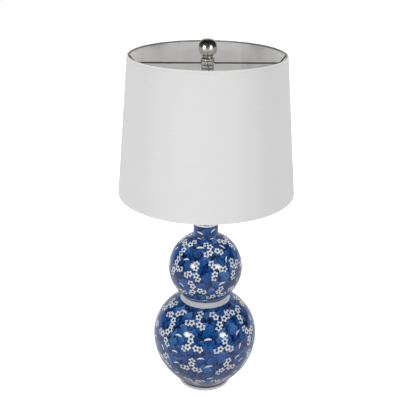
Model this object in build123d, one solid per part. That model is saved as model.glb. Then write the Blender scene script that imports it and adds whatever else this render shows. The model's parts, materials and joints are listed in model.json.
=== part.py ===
from build123d import *
import os
from math import acos, cos, degrees, hypot, radians, sin, sqrt

# Double gourd table lamp: glazed ceramic body, nickel fittings, drum shade.
# Millimetres, +Z up, the table is at height 0 and the lamp's axis is Z.

# ---- fits ----
turning_gap = 0.1         # flat faces that turn on each other
running_gap = 0.08        # a shaft in its bore
seat_gap = 0.02           # pieces that are pressed or clamped together

# ---- ceramic gourd ----
felt_thickness = 1.5
felt_margin = 3.0         # the felt stops this far inside the foot's edge
foot_radius = 57.5
foot_height = 11.0        # top of the straight foot ring
foot_ring_wall = 8.0
foot_line_depth = 0.5     # groove under the painted line
foot_line_width = 2.0
belly_radius = 112.0
belly_drop = 110.0        # from the widest circle down to the foot ring
belly_rise = 99.0         # upper half of the belly, as an ellipse
belly_fullness = 57.5     # how long the side stays upright below the widest circle
toe_length = 30.0         # how long the side stays straight above the foot
toe_angle = 47.0
waist_radius = 53.4
waist_height = 13.0
waist_taper = 3.0
globe_radius = 78.0
neck_radius = 26.0
neck_length = 29.5
neck_blend = 3.0
lip_rounding = 1.8
gourd_wall = 6.0
base_web = 7.0            # ceramic floor that the pipe is bolted through

# ---- cord inlet, low on the back ----
inlet_share = 0.17        # place along the belly's side, from the foot up
inlet_bore = 3.3
bush_wall = 1.3
bush_flange = 2.6
bush_flange_thickness = 1.8
bush_tail = 2.0           # end that shows inside the body

# ---- threaded pipe and what it clamps ----
pipe_radius = 5.0
pipe_bore = 3.3
pipe_hole_room = 0.6      # round the pipe where it passes the ceramic floor
pipe_tail = 2.0           # thread below the bottom nut
seal_radius = 17.0
seal_thickness = 1.5
washer_radius = 19.0
washer_thickness = 1.5
lock_washer_radius = 8.6
lock_washer_thickness = 1.2
lock_washer_slit = 1.6
nut_flats = 14.3
nut_height = 5.0
cap_overlap = 3.2         # how far the vase cap covers the lip
cap_height = 8.0
cap_rim_height = 1.4
cap_crown_radius = 12.0
cap_skirt = 5.0
cap_skirt_gap = 0.4
sheet = 1.0               # spun metal
neck_tube_radius = 8.0
neck_tube_length = 65.3
neck_tube_flare = 2.6

# ---- harp ----
harp_height = 254.0       # from the saddle's seat to the shade's seat
harp_leg_spacing = 58.0
harp_width = 112.0
harp_wire = 1.7
harp_leg_spare = 21.0     # straight leg left above a lifted ferrule
harp_flare_length = 70.0
harp_corner = 50.0
harp_flare_bend = 60.0
harp_leg_bend = 40.0
saddle_strip = 1.6
saddle_width = 12.0
saddle_tongue = 4.0
saddle_shoulder = 5.5
saddle_tongue_height = 16.5
saddle_bend = 3.0
ferrule_wall = 0.9
ferrule_clearance = 0.3
ferrule_height = 17.0
ferrule_travel = 20.0
top_plate_radius = 12.4   # turned collar on top of the loop
top_plate_thickness = 13.0
top_plate_groove = 1.2
top_plate_edge = 0.8
stud_radius = 3.1
stud_length = 27.0        # above the shade's seat

# ---- lamp socket ----
socket_radius = 16.8
socket_cap_height = 22.0
socket_collar_radius = 7.5
socket_collar_height = 8.0
socket_height = 62.0
socket_overlap = 4.0      # shell inside the cap's rim
socket_shoulder = 3.0     # plain band of the cap below the shell
paper_thickness = 0.6
insulator_radius = 14.6
insulator_height = 19.0
screw_shell_wall = 0.4
thread_gap = 0.1
contact_radius = 3.2
contact_height = 1.4
set_screw_radius = 1.5
set_screw_length = 4.5
terminal_screw_radius = 2.6
terminal_screw_head = 1.6
switch_height = 8.0       # the shaft's axis, above the insulator's foot
switch_shaft_radius = 1.6
switch_shaft_length = 21.0
switch_window = 2.6
knob_radius = 5.5
knob_length = 12.0
knob_flutes = 14
knob_flute_radius = 0.7

# ---- bulb ----
bulb_base_radius = 13.1
bulb_base_height = 22.0
bulb_tip_radius = 4.2
bulb_tip_height = 2.6
bulb_radius = 30.0
bulb_length = 106.0       # tip to top of glass
bulb_neck_length = 30.0
bulb_glass = 1.0

# ---- spider and shade ----
hub_radius = 13.5
hub_height = 12.3
hub_edge = 1.0
arm_seat_height = 2.6     # axis of the arms, above the hub's seat
arm_wire = 1.5
arm_count = 4
arm_turn = 2.0            # degrees that the spider stands turned from the harp
arm_bend_radius = 8.0
arm_reach_margin = 14.5   # from the shade's top edge in to the bend
arm_seat_depth = 3.0
spider_drop = 16.7        # from the shade's top edge down to the arms
ring_wire = 1.3
shade_top_radius = 152.4
shade_bottom_radius = 177.8
shade_height = 274.0
shade_fabric_thickness = 0.8
shade_liner_thickness = 0.8
trim_thickness = 0.4
trim_outer_height = 3.0

# ---- finial ----
finial_seat_radius = 9.4
finial_seat_height = 0.8
finial_small_bead_radius = 10.3
finial_small_bead_height = 4.6
finial_bead_radius = 11.5
finial_bead_height = 6.4
finial_groove_radius = 9.7
finial_throat_radius = 11.1   # where the ball meets the beads
finial_ball_radius = 17.4
finial_ball_drop = 9.9    # from the widest circle down to the beads
finial_ball_rise = 14.5
bushing_radius = 5.4
bushing_height = 12.0

dome_pull = 0.6           # a little fuller than the quarter of an ellipse

# ---- heights that follow from the sizes above ----
belly_height = foot_height + belly_drop
web_underside = felt_thickness + nut_height + lock_washer_thickness + washer_thickness \
    + seal_thickness + pipe_tail + 1.0
cap_radius = neck_radius - gourd_wall + cap_overlap


def waist_bottom(inset):
    """Height where the belly's ellipse meets the waist band."""
    reach = acos((waist_radius - inset) / (belly_radius - inset))
    return belly_height + (belly_rise - inset) * sin(reach)


def globe_dip(radius, inset):
    """How far from the globe's centre its surface has this radius."""
    return sqrt((globe_radius - inset) ** 2 - (radius - inset) ** 2)


waist_top = waist_bottom(0) + waist_height
waist_top_radius = waist_radius - waist_taper
globe_height = waist_top + globe_dip(waist_top_radius, 0)
neck_bottom = globe_height + globe_dip(neck_radius, 0)
lip_height = neck_bottom + neck_length
neck_tube_bottom = lip_height + cap_height
saddle_height = neck_tube_bottom + neck_tube_length
shade_seat = saddle_height + harp_height
socket_bottom = saddle_height + saddle_strip
hub_bottom = shade_seat + turning_gap
arm_height = hub_bottom + arm_seat_height
shade_top = arm_height + spider_drop
shade_bottom = shade_top - shade_height
finial_bottom = hub_bottom + hub_height + turning_gap


# ---- shared shapes ----
def turned(*lines):
    """A solid of revolution about the lamp's axis from radius-height lines."""
    return revolve(Plane.XZ * make_face(lines), Axis.Z)


def turned_points(*points):
    """A turned solid whose outline is straight between its points."""
    return turned(Polyline(*points, close=True))


def tube(radius, bore, bottom, height):
    """A plain ring or tube on the lamp's axis."""
    return turned_points((bore, bottom), (radius, bottom), (radius, bottom + height), (bore, bottom + height))


def rod(radius, start, direction, length):
    """A round bar from a point along a direction."""
    end = Plane(origin=start, z_dir=direction)
    return extrude(end * Circle(radius), length)


def circles_near(solid, height, radius):
    """The solid's round edges at one height and radius."""
    rings = solid.edges().filter_by(GeomType.CIRCLE)
    return [e for e in rings if abs(e.center().Z - height) < 0.01 and abs(e.radius - radius) < 0.01]


# ---- ceramic body ----
def belly_side(inset):
    """Side of the belly from the foot up to the widest circle."""
    toe = Vector(foot_radius, foot_height + inset / cos(radians(toe_angle)))
    lean = Vector(cos(radians(toe_angle)), sin(radians(toe_angle)))
    widest = Vector(belly_radius - inset, belly_height)
    return Bezier(toe, toe + lean * toe_length, widest - Vector(0, belly_fullness), widest)


def gourd_lines(inset):
    """The gourd's side from the foot to the lip, inset from the glaze."""
    side = belly_side(inset)
    shoulder_reach = degrees(acos((waist_radius - inset) / (belly_radius - inset)))
    shoulder = EllipticalCenterArc(
        (0, belly_height), belly_radius - inset, belly_rise - inset, 0, arc_size=shoulder_reach)
    band_top = (waist_top_radius - inset, globe_height - globe_dip(waist_top_radius, inset))
    band = Line(shoulder @ 1, band_top)
    neck_start = (neck_radius - inset, globe_height + globe_dip(neck_radius, inset))
    globe = ThreePointArc(band_top, (globe_radius - inset, globe_height), neck_start)
    neck = Line(neck_start, (neck_radius - inset, lip_height))
    return [side, shoulder, band, globe, neck]


def closed_to_axis(lines, bottom):
    """Closes a side line down the axis, from its top end to a bottom height."""
    start = lines[0] @ 0
    end = lines[-1] @ 1
    below = Polyline((start.X, start.Y), (start.X, bottom), (0, bottom), (0, end.Y), (end.X, end.Y))
    return turned(*lines, below)


def inlet_plane():
    """Plane on the back of the belly, square to the glaze, where the cord comes in."""
    side = belly_side(0)
    spot = side @ inlet_share
    slope = side % inlet_share
    return Plane(origin=(0, spot.X, spot.Y), z_dir=(0, slope.Y, -slope.X))


def make_gourd():
    outside = closed_to_axis(gourd_lines(0), felt_thickness)
    outside = fillet(circles_near(outside, neck_bottom, neck_radius), neck_blend)
    outside = fillet(circles_near(outside, lip_height, neck_radius), lip_rounding)
    cavity_bottom = web_underside + base_web
    cavity = closed_to_axis(gourd_lines(gourd_wall), felt_thickness)
    cavity -= tube(belly_radius, 0, 0, cavity_bottom)
    recess_radius = foot_radius - foot_ring_wall
    recess = Cylinder(recess_radius, web_underside, align=(Align.CENTER, Align.CENTER, Align.MIN))
    pipe_hole = tube(pipe_radius + pipe_hole_room, 0, 0, cavity_bottom + 1)
    line_height = foot_height - foot_line_width
    line_groove = tube(foot_radius + 1, foot_radius - foot_line_depth, line_height, foot_line_width)
    cord_hole = extrude(
        inlet_plane() * Circle(inlet_bore + bush_wall + running_gap), 3 * gourd_wall, both=True)
    return outside - cavity - recess - pipe_hole - line_groove - cord_hole


def make_felt():
    felt = Cylinder(foot_radius - felt_margin, felt_thickness, align=(Align.CENTER, Align.CENTER, Align.MIN))
    return felt


def make_cord_bush():
    """Flanged bush that lines the cord hole."""
    barrel_radius = inlet_bore + bush_wall
    flange_radius = barrel_radius + bush_flange
    depth = gourd_wall + bush_tail
    half = Polyline(
        (inlet_bore, -depth), (barrel_radius, -depth), (barrel_radius, 0), (flange_radius, 0),
        (flange_radius - 0.6, bush_flange_thickness), (inlet_bore, bush_flange_thickness), close=True)
    return inlet_plane() * revolve(Plane.XZ * make_face(half), Axis.Z)


# ---- pipe, nut and washers ----
def make_pipe():
    bottom = web_underside - seal_thickness - washer_thickness - lock_washer_thickness \
        - nut_height - pipe_tail
    top = socket_bottom + socket_collar_height
    pipe = tube(pipe_radius, pipe_bore, bottom, top - bottom)
    port_height = inlet_plane().origin.Z + gourd_wall
    return pipe - rod(pipe_bore - 0.3, (0, 0, port_height), (0, 1, 0), pipe_radius + 1)


def make_base_stack():
    """What clamps the pipe under the ceramic floor, from the floor down."""
    bore = pipe_radius + seat_gap
    seal_bottom = web_underside - seal_thickness
    washer_bottom = seal_bottom - washer_thickness
    lock_bottom = washer_bottom - lock_washer_thickness
    lock_washer = tube(lock_washer_radius, bore, lock_bottom, lock_washer_thickness)
    slit = Box(lock_washer_slit, 2 * lock_washer_radius, 4 * lock_washer_thickness,
               align=(Align.CENTER, Align.MIN, Align.CENTER))
    lock_washer -= Pos(0, 0, lock_bottom) * slit
    nut = extrude(RegularPolygon(nut_flats / 2, 6, major_radius=False) - Circle(bore), nut_height)
    return {
        "base_seal": tube(seal_radius, bore, seal_bottom, seal_thickness),
        "base_washer": tube(washer_radius, bore, washer_bottom, washer_thickness),
        "base_lock_washer": lock_washer,
        "base_nut": Pos(0, 0, lock_bottom - nut_height) * nut,
    }


def make_vase_cap():
    """Spun cap that sits on the lip and centres itself in the neck."""
    bore = pipe_radius + seat_gap
    skirt_radius = neck_radius - gourd_wall - cap_skirt_gap
    top = lip_height + cap_height
    crown = Bezier((cap_crown_radius, top), (cap_radius - 3, top),
                   (cap_radius, lip_height + 3), (cap_radius, lip_height + cap_rim_height))
    outside = Polyline(
        (cap_radius, lip_height + cap_rim_height), (cap_radius, lip_height), (skirt_radius, lip_height),
        (skirt_radius, lip_height - cap_skirt), (skirt_radius - sheet, lip_height - cap_skirt),
        (skirt_radius - sheet, lip_height + 1), (cap_crown_radius - 2, top - 1.6 * sheet),
        (bore, top - 1.6 * sheet), (bore, top), (cap_crown_radius, top))
    return turned(crown, outside)


def make_neck_tube():
    """Spun tube between the vase cap and the harp saddle, with a turned foot and head."""
    bore = pipe_radius + seat_gap
    radius = neck_tube_radius
    foot = radius + neck_tube_flare
    low = neck_tube_bottom
    high = saddle_height
    return turned_points(
        (bore, low), (foot, low), (foot, low + 2), (radius, low + 5), (radius, high - 5),
        (foot - 1, high - 3), (foot - 1, high), (bore, high), (bore, high - sheet),
        (radius - sheet, high - 2 * sheet - 3), (radius - sheet, low + 2 * sheet + 3), (bore, low + sheet))


# ---- harp ----
leg_x = harp_leg_spacing / 2
tongue_outer = leg_x - harp_wire
tongue_inner = tongue_outer - saddle_strip
shoulder_height = saddle_height + saddle_shoulder
ferrule_x = (tongue_inner + leg_x + harp_wire) / 2
ferrule_bore = hypot(ferrule_x - tongue_inner, saddle_tongue / 2) + ferrule_clearance


def make_saddle():
    """Flat strip bent up at both ends, with a narrow tongue for each ferrule."""
    tongue_top = shoulder_height + saddle_tongue_height
    half = Polyline((0, saddle_height), (tongue_outer, saddle_height), (tongue_outer, tongue_top),
                    (tongue_inner, tongue_top), (tongue_inner, socket_bottom), (0, socket_bottom), close=True)
    strip = extrude(Plane.XZ * make_face(half), saddle_width / 2, both=True)
    outer_bend = strip.edges().filter_by(Axis.Y).group_by(Axis.X)[-1].sort_by(Axis.Z)[0]
    inner_bend = strip.edges().filter_by(Axis.Y).group_by(Axis.X)[-2].sort_by(Axis.Z)[0]
    strip = fillet(outer_bend, saddle_bend + saddle_strip)
    strip = fillet([e for e in strip.edges().filter_by(Axis.Y)
                    if abs(e.center().X - inner_bend.center().X) < 0.01
                    and abs(e.center().Z - inner_bend.center().Z) < 0.01], saddle_bend)
    side_cut = Box(4 * saddle_strip, saddle_width, 2 * saddle_tongue_height,
                   align=(Align.CENTER, Align.MIN, Align.MIN))
    for side in (0, 180):
        strip -= Pos((tongue_inner + tongue_outer) / 2, 0, shoulder_height) \
            * Rot(0, 0, side) * Pos(0, saddle_tongue / 2, 0) * side_cut
    saddle = strip + mirror(strip, Plane.YZ)
    return saddle - tube(pipe_radius + seat_gap, 0, saddle_height - 1, saddle_strip + 2)


def make_harp():
    """Bent wire loop, one sweep from leg to leg."""
    half_width = harp_width / 2
    foot_z = shoulder_height + turning_gap
    knee_z = foot_z + ferrule_height + ferrule_travel + harp_leg_spare
    hip_z = knee_z + harp_flare_length
    top_z = shade_seat - top_plate_thickness - harp_wire
    path = Plane.XZ * FilletPolyline(
        (-leg_x, foot_z), (-leg_x, knee_z), (-half_width, hip_z), (-half_width, top_z),
        (half_width, top_z), (half_width, hip_z), (leg_x, knee_z), (leg_x, foot_z),
        radius=[harp_leg_bend, harp_flare_bend, harp_corner, harp_corner, harp_flare_bend, harp_leg_bend])
    return sweep(Plane(origin=(-leg_x, 0, foot_z)) * Circle(harp_wire), path=path)


def make_harp_top():
    """Turned collar on top of the loop, and the stud riveted through it."""
    low = shade_seat - top_plate_thickness
    bore = stud_radius + seat_gap
    edge = top_plate_edge
    groove = top_plate_groove
    middle = low + top_plate_thickness / 2
    plate = turned_points(
        (bore, low), (top_plate_radius - edge, low), (top_plate_radius, low + edge),
        (top_plate_radius, middle - groove), (top_plate_radius - groove, middle),
        (top_plate_radius, middle + groove), (top_plate_radius, shade_seat - edge),
        (top_plate_radius - edge, shade_seat), (bore, shade_seat))
    stud = rod(stud_radius, (0, 0, low), (0, 0, 1), top_plate_thickness + stud_length)
    return {"harp_plate": plate, "harp_stud": chamfer(stud.edges().sort_by(Axis.Z)[-1], 0.6)}


def make_ferrule(side):
    """Sleeve that locks one harp leg to the saddle."""
    sleeve = tube(ferrule_bore + ferrule_wall, ferrule_bore, shoulder_height + turning_gap, ferrule_height)
    top = shoulder_height + turning_gap + ferrule_height
    sleeve = fillet(circles_near(sleeve, top, ferrule_bore + ferrule_wall), 0.5)
    return Pos(side * ferrule_x, 0, 0) * sleeve


# ---- lamp socket ----
cap_shoulder = socket_bottom + socket_cap_height - socket_overlap - socket_shoulder
insulator_bottom = cap_shoulder + sheet
insulator_top = insulator_bottom + insulator_height
switch_z = insulator_bottom + switch_height
socket_cap_radius = socket_radius + 2 * seat_gap + sheet
socket_top = socket_bottom + socket_height
socket_shell_bottom = socket_bottom + socket_cap_height - socket_overlap
paper_radius = socket_radius - sheet - seat_gap
screw_shell_bore = bulb_base_radius + thread_gap
contact_bottom = insulator_top + screw_shell_wall
bulb_bottom = contact_bottom + contact_height + turning_gap


def make_socket_cap():
    """Spun cap screwed on the pipe, with a side boss for the set screw."""
    bore = pipe_radius + seat_gap
    low = socket_bottom
    collar_top = low + socket_collar_height
    rim = low + socket_cap_height
    return turned_points(
        (bore, low), (socket_collar_radius, low), (socket_collar_radius, collar_top),
        (socket_cap_radius, cap_shoulder), (socket_cap_radius, rim),
        (socket_cap_radius - sheet, rim), (socket_cap_radius - sheet, cap_shoulder + 0.4),
        (socket_collar_radius - sheet, collar_top + sheet), (bore, collar_top + sheet)) \
        - rod(set_screw_radius + seat_gap, (0, 0, low + socket_collar_height / 2), (1, 0, 0), 20)


def make_set_screw():
    height = socket_bottom + socket_collar_height / 2
    return rod(set_screw_radius, (pipe_radius + seat_gap, 0, height), (1, 0, 0), set_screw_length)


def make_socket_shell():
    """Outer metal shell with a rolled top edge and a window for the switch shaft."""
    low = socket_shell_bottom
    shell = turned_points(
        (socket_radius - sheet, low), (socket_radius, low), (socket_radius, socket_top - 0.6),
        (socket_radius - 0.6, socket_top), (socket_radius - 2 * sheet - 0.4, socket_top),
        (socket_radius - 2 * sheet - 0.4, socket_top - sheet), (socket_radius - sheet, socket_top - sheet))
    return shell - rod(switch_window, (0, 0, switch_z), (0, -1, 0), 2 * socket_radius)


def make_paper_sleeve():
    height = socket_top - sheet - seat_gap - socket_shell_bottom
    sleeve = tube(paper_radius, paper_radius - paper_thickness, socket_shell_bottom, height)
    return sleeve - rod(switch_window, (0, 0, switch_z), (0, -1, 0), 2 * socket_radius)


terminal_sides = (-1, 1)


def make_insulator():
    """Moulded block that holds the switch and carries the contacts."""
    block = tube(insulator_radius, 0, insulator_bottom, insulator_height)
    flat_x = insulator_radius - 2 * terminal_screw_head
    mid_z = insulator_bottom + insulator_height / 2
    for side in terminal_sides:
        pocket = Box(insulator_radius, 3 * terminal_screw_radius, 3 * terminal_screw_radius,
                     align=(Align.MIN, Align.CENTER, Align.CENTER))
        block -= Rot(0, 0, 90 - 90 * side) * Pos(flat_x, 0, mid_z) * pocket
    shaft_room = switch_shaft_radius + running_gap
    return block - rod(shaft_room, (0, 0, switch_z), (0, -1, 0), 2 * insulator_radius)


def make_terminal_screws():
    """The two wiring screws, one in each side pocket."""
    flat_x = insulator_radius - 2 * terminal_screw_head
    mid_z = insulator_bottom + insulator_height / 2
    screws = []
    for side in terminal_sides:
        head = rod(terminal_screw_radius, (side * flat_x, 0, mid_z), (side, 0, 0), terminal_screw_head)
        slot = Box(0.8, 2 * terminal_screw_radius + 1, 0.9)
        screws.append(head - Pos(side * (flat_x + terminal_screw_head), 0, mid_z) * slot)
    return Compound(children=screws)


def make_screw_shell():
    """Brass shell that the bulb screws into, open at the top."""
    low = insulator_top
    outer = screw_shell_bore + screw_shell_wall
    top = socket_top - 2 * sheet
    return turned_points(
        (contact_radius + 1.5, low), (outer, low), (outer, top), (outer - screw_shell_wall, top),
        (outer - screw_shell_wall, low + screw_shell_wall), (contact_radius + 1.5, low + screw_shell_wall))


def make_centre_contact():
    low = insulator_top
    return tube(contact_radius, 0, low, contact_bottom + contact_height - low)


def make_switch():
    """Shaft and fluted knob of the turn switch, pointing forward."""
    inner_y = insulator_radius * 0.55
    shaft = rod(switch_shaft_radius, (0, -inner_y, switch_z), (0, -1, 0), switch_shaft_length)
    knob_start = inner_y + switch_shaft_length - knob_length + 2
    knob = rod(knob_radius, (0, -knob_start, switch_z), (0, -1, 0), knob_length)
    knob = chamfer(knob.edges().sort_by(Axis.Y)[0], 0.8)
    flute = rod(knob_flute_radius, (0, 0, 0), (0, 0, 1), knob_length - 2.5)
    end = Plane(origin=(0, -knob_start - 2.5, switch_z), z_dir=(0, -1, 0))
    for place in PolarLocations(knob_radius, knob_flutes):
        knob -= end * place * flute
    return {
        "switch_shaft": shaft,
        "switch_knob": knob - rod(switch_shaft_radius + seat_gap, (0, -inner_y, switch_z), (0, -1, 0),
                                  switch_shaft_length + seat_gap),
    }


# ---- bulb ----
base_bottom = bulb_bottom + bulb_tip_height
base_top = base_bottom + bulb_base_height
bulb_centre = bulb_bottom + bulb_length - bulb_radius


def bulb_side(inset):
    """Side of the glass from its neck to its top."""
    neck = Vector(bulb_base_radius - inset, base_top)
    radius = bulb_radius - inset
    tangent_angle = radians(35)
    joint = Vector(radius * cos(tangent_angle), bulb_centre - radius * sin(tangent_angle))
    drop = Vector(sin(tangent_angle), cos(tangent_angle)) * (bulb_neck_length / 2)
    neck_curve = Bezier(neck, neck + Vector(0, bulb_neck_length / 2), joint - drop, joint)
    crown = ThreePointArc(joint, (radius, bulb_centre), (0, bulb_centre + radius))
    return [neck_curve, crown]


def make_bulb():
    """Screw base, centre tip and hollow glass."""
    outer = bulb_side(0)
    inner = bulb_side(bulb_glass)
    foot = Line(outer[0] @ 0, inner[0] @ 0)
    crown = Line(outer[1] @ 1, inner[1] @ 1)
    taper = Polyline(
        (bulb_tip_radius, base_bottom), (bulb_base_radius - 3, base_bottom), (bulb_base_radius, base_bottom + 4),
        (bulb_base_radius, base_top), (0, base_top), (0, base_bottom + 2), (bulb_tip_radius, base_bottom + 2),
        close=True)
    tip = turned_points((0, bulb_bottom), (bulb_tip_radius - 1.2, bulb_bottom), (bulb_tip_radius, bulb_bottom + 1.2),
                        (bulb_tip_radius, base_bottom + 2), (0, base_bottom + 2))
    return {
        "bulb_glass": turned(*outer, *inner, foot, crown),
        "bulb_base": turned(taper),
        "bulb_tip": tip,
    }


# ---- spider and shade ----
shade_slope = (shade_bottom_radius - shade_top_radius) / shade_height
shade_wall = shade_fabric_thickness + shade_liner_thickness


def shade_radius(height, depth):
    """Radius of the shade's wall at a height, at a depth below its outer face."""
    return shade_top_radius + (shade_top - height) * shade_slope - depth


def cone(depth, thickness, low, high):
    """One layer of the shade's wall."""
    return turned_points(
        (shade_radius(low, depth + thickness), low), (shade_radius(low, depth), low),
        (shade_radius(high, depth), high), (shade_radius(high, depth + thickness), high))


top_ring_z = shade_top - ring_wire
bottom_ring_z = shade_bottom + ring_wire
top_ring_radius = shade_radius(shade_top, shade_wall) - trim_thickness - ring_wire - seat_gap
bottom_ring_radius = shade_radius(bottom_ring_z, shade_wall) - ring_wire / cos(shade_slope) - seat_gap


def wire_ring(radius, height, wire):
    return Pos(0, 0, height) * Torus(radius, wire)


def arm_shape(wire):
    """One arm of the spider: level from the hub, then up to the top ring."""
    start = hub_radius - arm_seat_depth
    bend = shade_top_radius - arm_reach_margin
    path = Plane.XZ * FilletPolyline(
        (start, arm_height), (bend, arm_height), (top_ring_radius, top_ring_z), radius=arm_bend_radius)
    return sweep(Plane(origin=(start, 0, arm_height), z_dir=(1, 0, 0)) * Circle(wire), path=path)


def make_spider():
    """Turned hub and the wire arms welded between it and the top ring."""
    bore = stud_radius + running_gap
    edge = hub_edge
    top = hub_bottom + hub_height
    hub = turned_points(
        (bore, hub_bottom), (hub_radius - edge, hub_bottom), (hub_radius, hub_bottom + edge),
        (hub_radius, top - edge), (hub_radius - edge, top), (bore, top))
    hole_start = hub_radius - arm_seat_depth - seat_gap
    arm_hole = rod(arm_wire + seat_gap, (hole_start, 0, arm_height), (1, 0, 0), hub_radius)
    arm = arm_shape(arm_wire) - wire_ring(top_ring_radius, top_ring_z, ring_wire + seat_gap)
    arms = []
    for place in PolarLocations(0, arm_count, start_angle=arm_turn):
        hub -= place * arm_hole
        arms.append(place * arm)
    return {"spider_hub": hub, "spider_arms": Compound(children=arms)}


def make_trim(edge, into, inside, drop):
    """Tape folded over one edge of the shade, with its inner leg at a radius."""
    over = edge - into * trim_thickness
    low = edge + into * trim_outer_height
    return turned_points(
        (shade_radius(low, 0), low), (shade_radius(low, -trim_thickness), low),
        (shade_radius(over, -trim_thickness), over), (inside - trim_thickness, over),
        (inside - trim_thickness, edge + into * drop), (inside, edge + into * drop), (inside, edge),
        (shade_radius(edge, 0), edge))


def make_shade():
    """Two layers, a wire ring inside each edge, and the tape on the edges.

    The top tape covers the layers and leaves its ring bare; the bottom tape takes its ring in.
    """
    depth = shade_fabric_thickness
    under_top = shade_radius(shade_top, shade_wall)
    round_ring = bottom_ring_radius - ring_wire - seat_gap
    return {
        "shade_fabric": cone(0, shade_fabric_thickness, shade_bottom, shade_top),
        "shade_liner": cone(depth, shade_liner_thickness, shade_bottom, shade_top),
        "shade_top_ring": wire_ring(top_ring_radius, top_ring_z, ring_wire),
        "shade_bottom_ring": wire_ring(bottom_ring_radius, bottom_ring_z, ring_wire),
        "shade_top_trim": make_trim(shade_top, -1, under_top, trim_outer_height),
        "shade_bottom_trim": make_trim(shade_bottom, 1, round_ring, 2 * ring_wire + seat_gap),
    }


# ---- finial ----
def make_finial():
    """Turned knob of a full ball on two beads, with a threaded bushing inside."""
    seat_top = finial_bottom + finial_seat_height
    small_top = seat_top + finial_small_bead_height
    bead_top = small_top + finial_bead_height
    groove = finial_groove_radius
    ball_z = bead_top + finial_ball_drop
    top = Vector(0, ball_z + finial_ball_rise)
    small_bead = ThreePointArc((groove, seat_top), (finial_small_bead_radius, (seat_top + small_top) / 2),
                               (groove, small_top))
    throat = Vector(finial_throat_radius, bead_top)
    bead_widest = (finial_bead_radius, small_top + 0.6 * finial_bead_height)
    bead = ThreePointArc((groove, small_top), bead_widest, throat)
    widest = Vector(finial_ball_radius, ball_z)
    swell = finial_ball_radius - finial_throat_radius
    cup = Bezier(throat, throat + Vector(0.75 * swell, 0.1 * finial_ball_drop),
                 widest - Vector(0, 0.6 * finial_ball_drop), widest)
    dome = Bezier(widest, widest + Vector(0, dome_pull * finial_ball_rise),
                  top + Vector(dome_pull * finial_ball_radius, 0), top)
    seat = Polyline((groove, seat_top), (finial_seat_radius, seat_top), (finial_seat_radius, finial_bottom),
                    (0, finial_bottom), (top.X, top.Y))
    knob = turned(small_bead, bead, cup, dome, seat)
    stud_room = stud_radius + running_gap
    bushing_hole = tube(bushing_radius + seat_gap, 0, finial_bottom - 1, bushing_height + 1)
    stud_hole = tube(stud_room, 0, finial_bottom - 1, stud_length - hub_height + 2)
    return {
        "finial_knob": knob - bushing_hole - stud_hole,
        "finial_bushing": tube(bushing_radius, stud_room, finial_bottom, bushing_height),
    }


pieces = {
    "gourd_body": make_gourd(),
    "felt_pad": make_felt(),
    "cord_bush": make_cord_bush(),
    "lamp_pipe": make_pipe(),
    **make_base_stack(),
    "vase_cap": make_vase_cap(),
    "neck_tube": make_neck_tube(),
    "harp_saddle": make_saddle(),
    "harp_loop": make_harp(),
    **make_harp_top(),
    "ferrule_left": make_ferrule(-1),
    "ferrule_right": make_ferrule(1),
    "socket_cap": make_socket_cap(),
    "socket_set_screw": make_set_screw(),
    "socket_shell": make_socket_shell(),
    "socket_paper_sleeve": make_paper_sleeve(),
    "socket_insulator": make_insulator(),
    "terminal_screws": make_terminal_screws(),
    "screw_shell": make_screw_shell(),
    "centre_contact": make_centre_contact(),
    **make_switch(),
    **make_bulb(),
    **make_spider(),
    **make_shade(),
    **make_finial(),
}

os.makedirs("parts", exist_ok=True)
for name, solid in pieces.items():
    export_step(solid, f"parts/{name}.step")
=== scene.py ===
import bpy
import bmesh
import json
from math import asin, atan2, cos, degrees, pi, radians, sin, sqrt, tan
from mathutils import Matrix, Vector
from mathutils.kdtree import KDTree


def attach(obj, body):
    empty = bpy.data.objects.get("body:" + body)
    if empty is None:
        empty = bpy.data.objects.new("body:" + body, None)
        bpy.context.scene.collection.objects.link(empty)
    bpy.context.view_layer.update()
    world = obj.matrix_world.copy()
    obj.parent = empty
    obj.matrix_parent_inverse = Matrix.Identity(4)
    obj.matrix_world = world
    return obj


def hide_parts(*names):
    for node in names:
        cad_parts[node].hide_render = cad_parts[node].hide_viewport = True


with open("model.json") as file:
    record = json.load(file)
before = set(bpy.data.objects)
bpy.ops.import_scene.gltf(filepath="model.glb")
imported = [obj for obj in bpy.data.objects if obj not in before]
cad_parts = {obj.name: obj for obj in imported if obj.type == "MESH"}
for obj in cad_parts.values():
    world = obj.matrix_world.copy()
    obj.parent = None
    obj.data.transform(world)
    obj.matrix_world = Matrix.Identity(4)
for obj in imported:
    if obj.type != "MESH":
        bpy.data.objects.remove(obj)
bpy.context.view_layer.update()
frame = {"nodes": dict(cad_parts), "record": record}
nodes = frame["nodes"]
scene = bpy.context.scene
mm = 0.001
print("frame loaded,", len(nodes), "nodes")


# camera, floor and lights

cameraPlace = {
    "x": 0.004, "y": -1.3818, "z": 0.995,  # metres
    "lookDown": 22.78, "roll": 0.67,  # degrees
    "lens": 63.0, "nearest": 0.05,
}


def makeCamera(c):
    lens = bpy.data.cameras.new("camera")
    lens.lens = c["lens"]
    lens.clip_start = c["nearest"]
    camera = bpy.data.objects.new("camera", lens)
    scene.collection.objects.link(camera)
    pitch = Matrix.Rotation(radians(90 - c["lookDown"]), 4, "X")
    roll = Matrix.Rotation(radians(c["roll"]), 4, "Z")
    camera.matrix_world = Matrix.Translation((c["x"], c["y"], c["z"])) @ pitch @ roll
    scene.camera = camera


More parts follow.
